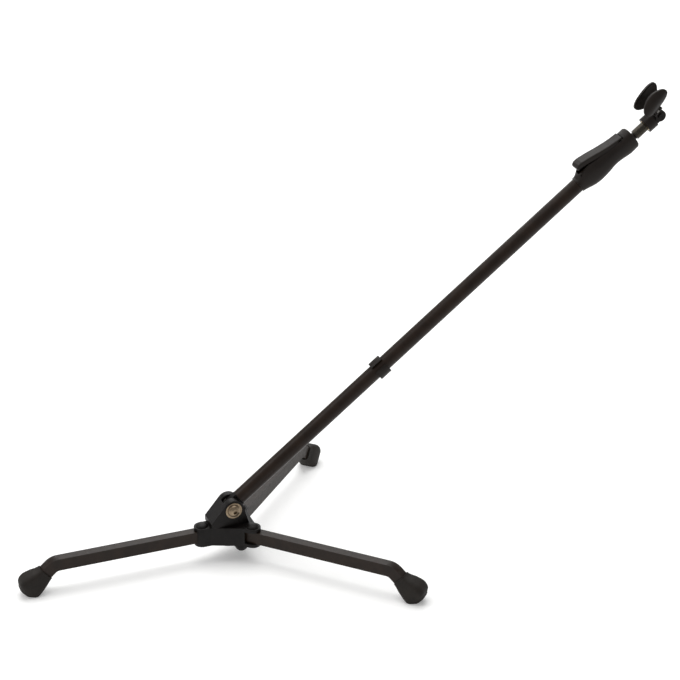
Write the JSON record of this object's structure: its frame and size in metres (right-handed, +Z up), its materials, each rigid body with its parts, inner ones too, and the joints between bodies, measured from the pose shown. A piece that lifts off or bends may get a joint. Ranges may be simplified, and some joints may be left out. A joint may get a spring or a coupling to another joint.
{
  "type": "low tripod microphone stand",
  "caption": "Low tripod stand with a tilting, height-adjustable pole, a one-hand lever clutch and a sprung microphone clip.",
  "frame": {"origin": "on the floor under the hub's axis", "axes": "+X is the way the pole leans, +Z is up, and XZ is the mirror plane"},
  "size_m": [1.1369, 0.5298, 0.7323],
  "materials": {
    "coated_casting": "satin black powder coat on a casting",
    "coated_steel": "satin black coat on steel tube",
    "rubber": "matt moulded",
    "jaw_lining": "matt",
    "moulded_plastic": "fine textured",
    "pale_nylon": "moulded",
    "black_fasteners": "black coated",
    "zinc_steel": "yellow zinc plated",
    "plated_steel": "nickel plated",
    "brass": "turned"
  },
  "bodies": {
    "base": {"hub": "coated_casting", "clevis": "coated_casting", "clevis_studs": "black_fasteners", "clevis_cap_nuts": "black_fasteners", "leg_bolts": "black_fasteners", "leg_nuts": "black_fasteners", "tilt_bolt": "zinc_steel", "tilt_nut": "zinc_steel", "tilt_washers": "zinc_steel", "friction_discs": "pale_nylon", "rear_leg": "coated_steel", "rear_boot": "rubber", "rear_bush": "pale_nylon"},
    "left_leg_group": {"front_left_leg": "coated_steel", "front_left_boot": "rubber", "front_left_bush": "pale_nylon"},
    "right_leg_group": {"front_right_leg": "coated_steel", "front_right_boot": "rubber", "front_right_bush": "pale_nylon"},
    "pole": {"pole_plug": "coated_casting", "outer_tube": "coated_steel", "lead_clip": "moulded_plastic", "clutch_body": "moulded_plastic", "clutch_cap": "moulded_plastic", "lever_pin": "plated_steel", "clutch_plates": "plated_steel", "clutch_spring": "plated_steel"},
    "lever": {"clutch_lever": "moulded_plastic"},
    "post": {"inner_tube": "coated_steel", "inner_glide": "pale_nylon", "thread_adaptor": "plated_steel", "clip_socket": "moulded_plastic", "thread_insert": "brass"},
    "clip": {"clip_saddle": "moulded_plastic", "clip_pivot_bolt": "plated_steel", "clip_pivot_nut": "plated_steel", "jaw_pins": "plated_steel", "jaw_springs": "plated_steel"},
    "left_jaw_group": {"left_jaw": "moulded_plastic", "left_jaw_pad": "jaw_lining"},
    "right_jaw_group": {"right_jaw": "moulded_plastic", "right_jaw_pad": "jaw_lining"}
  },
  "joints": [
    {"name": "front_left_leg_fold", "type": "hinge", "parent": "base", "child": "left_leg_group", "pos_m": [0.03195, 0.03309, 0.0475], "axis": [0, 0, 1], "range_deg": [-46, 0]},
    {"name": "front_right_leg_fold", "type": "hinge", "parent": "base", "child": "right_leg_group", "pos_m": [0.03195, -0.03309, 0.0475], "axis": [0, 0, 1], "range_deg": [0, 46]},
    {"name": "pole_tilt", "type": "hinge", "parent": "base", "child": "pole", "pos_m": [0.0045, 0, 0.093], "axis": [0, 1, 0], "range_deg": [-52, 23]},
    {"name": "height_slide", "type": "slide", "parent": "pole", "child": "post", "axis": [0.788, 0, 0.6157], "range_m": [0, 0.36]},
    {"name": "clutch_squeeze", "type": "hinge", "parent": "pole", "child": "lever", "pos_m": [0.6931, 0, 0.64749], "axis": [0, 1, 0], "range_deg": [-5, 0], "stiffness_Nm_per_rad": 1, "springref_deg": 5.73},
    {"name": "clip_tilt", "type": "hinge", "parent": "post", "child": "clip", "pos_m": [0.76775, 0, 0.68107], "axis": [0, 1, 0], "range_deg": [-8, 75]},
    {"name": "left_jaw_open", "type": "hinge", "parent": "clip", "child": "left_jaw_group", "pos_m": [0.75847, 0.012, 0.69261], "axis": [0.6361, 0, 0.7716], "range_deg": [-30, 0], "stiffness_Nm_per_rad": 0.2, "springref_deg": 14.32},
    {"name": "right_jaw_open", "type": "hinge", "parent": "clip", "child": "right_jaw_group", "pos_m": [0.75847, -0.012, 0.69261], "axis": [0.6361, 0, 0.7716], "range_deg": [0, 30], "stiffness_Nm_per_rad": 0.2, "springref_deg": -14.32}
  ]
}
